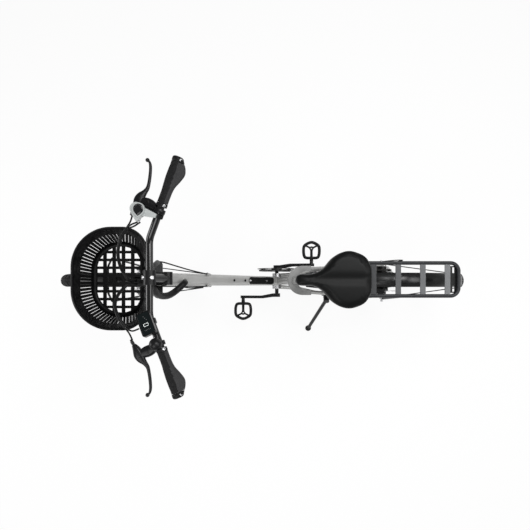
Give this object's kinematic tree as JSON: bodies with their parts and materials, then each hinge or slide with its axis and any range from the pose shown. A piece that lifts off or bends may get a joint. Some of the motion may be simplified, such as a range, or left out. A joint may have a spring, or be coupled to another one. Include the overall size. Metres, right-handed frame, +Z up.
{
  "type": "electric bicycle",
  "caption": "Step-through electric bicycle with a front basket, rear rack, mudguards, hub motor and side stand.",
  "frame": {"origin": "middle of the base, on the ground, as it stands parked on its side stand", "axes": "X forward along the bicycle, Y to the rider's left, Z up"},
  "size_m": [1.8085, 0.7082, 1.1728],
  "materials": {
    "frame_paint": "satin",
    "dark_alloy": "satin",
    "steel": "satin",
    "chain_steel": "satin",
    "saddle_cover": "satin",
    "guard_gloss": "gloss",
    "rack_paint": "satin",
    "black_plastic": "matte",
    "grip_rubber": "matte",
    "lever_paint": "satin",
    "display_gloss": "gloss",
    "basket_plastic": "matte",
    "tyre": "matte",
    "motor_black": "satin",
    "crank_black": "satin",
    "pedal_black": "matte",
    "cable_jacket": "satin",
    "bare_alloy": "satin"
  },
  "bodies": {
    "frame": {"head_tube": "frame_paint", "headset": "dark_alloy", "main_tube": "frame_paint", "seat_tube": "frame_paint", "bottom_bracket": "steel", "stay_yoke": "frame_paint", "seat_stays": "frame_paint", "chainstays": "frame_paint", "dropouts": "frame_paint", "rear_axle": "steel", "chain": "chain_steel", "derailleur": "dark_alloy", "seat_post": "dark_alloy", "saddle_rails": "steel", "seat_collar": "dark_alloy", "saddle": "saddle_cover", "rear_guard": "guard_gloss", "rear_guard_stays": "dark_alloy", "rack_deck": "rack_paint", "rack_legs": "rack_paint", "tail_light": "black_plastic", "stand_bracket": "dark_alloy", "tube_cover": "black_plastic", "rear_caliper": "steel", "cable_loom": "cable_jacket", "gear_cable": "cable_jacket"},
    "steering": {"fork_crown": "dark_alloy", "fork_blades": "dark_alloy", "stem": "dark_alloy", "handlebar": "dark_alloy", "grips": "grip_rubber", "brake_lever_left": "lever_paint", "brake_lever_right": "lever_paint", "shifter": "black_plastic", "display": "display_gloss", "bell": "lever_paint", "front_axle": "steel", "front_guard": "guard_gloss", "front_guard_stays": "dark_alloy", "basket": "basket_plastic", "basket_carrier": "dark_alloy", "headlamp": "black_plastic", "front_caliper": "steel", "control_cables": "cable_jacket"},
    "front_wheel": {"front_tyre": "tyre", "front_rim": "dark_alloy", "front_hub": "steel", "front_brake_disc": "steel"},
    "rear_wheel": {"rear_tyre": "tyre", "rear_rim": "dark_alloy", "rear_hub_motor": "motor_black", "rear_brake_disc": "steel", "freewheel": "chain_steel"},
    "crank": {"chainring": "chain_steel", "crank_left": "crank_black", "crank_right": "crank_black"},
    "pedal_left": {"pedal_left": "pedal_black"},
    "pedal_right": {"pedal_right": "pedal_black"},
    "stand": {"stand_leg": "dark_alloy"}
  },
  "joints": [
    {"name": "steering", "type": "hinge", "parent": "frame", "child": "steering", "pos_m": [0.39485, -0.05006, 0.69824], "axis": [-0.3256, 0.1152, 0.9385], "range_deg": [-60, 60], "deforming": ["cable_loom"]},
    {"name": "front_wheel_spin", "type": "hinge", "parent": "steering", "child": "front_wheel", "pos_m": [0.56925, -0.09495, 0.3327], "axis": [0, 0.9925, -0.1219], "continuous": true},
    {"name": "rear_wheel_spin", "type": "hinge", "parent": "frame", "child": "rear_wheel", "pos_m": [-0.55475, -0.09495, 0.3327], "axis": [0, 0.9925, -0.1219], "continuous": true},
    {"name": "crank_turn", "type": "hinge", "parent": "frame", "child": "crank", "pos_m": [-0.06875, -0.10104, 0.28308], "axis": [0, 0.9925, -0.1219], "continuous": true},
    {"name": "left_pedal_turn", "type": "hinge", "parent": "crank", "child": "pedal_left", "pos_m": [0.09264, 0.01885, 0.23379], "axis": [0, 0.9925, -0.1219], "continuous": true},
    {"name": "right_pedal_turn", "type": "hinge", "parent": "crank", "child": "pedal_right", "pos_m": [-0.23014, -0.22093, 0.33236], "axis": [0, 0.9925, -0.1219], "continuous": true},
    {"name": "stand_fold", "type": "hinge", "parent": "frame", "child": "stand", "pos_m": [-0.30375, -0.01284, 0.2793], "axis": [0.0886, 0.9006, 0.4256], "range_deg": [0, 100]}
  ]
}
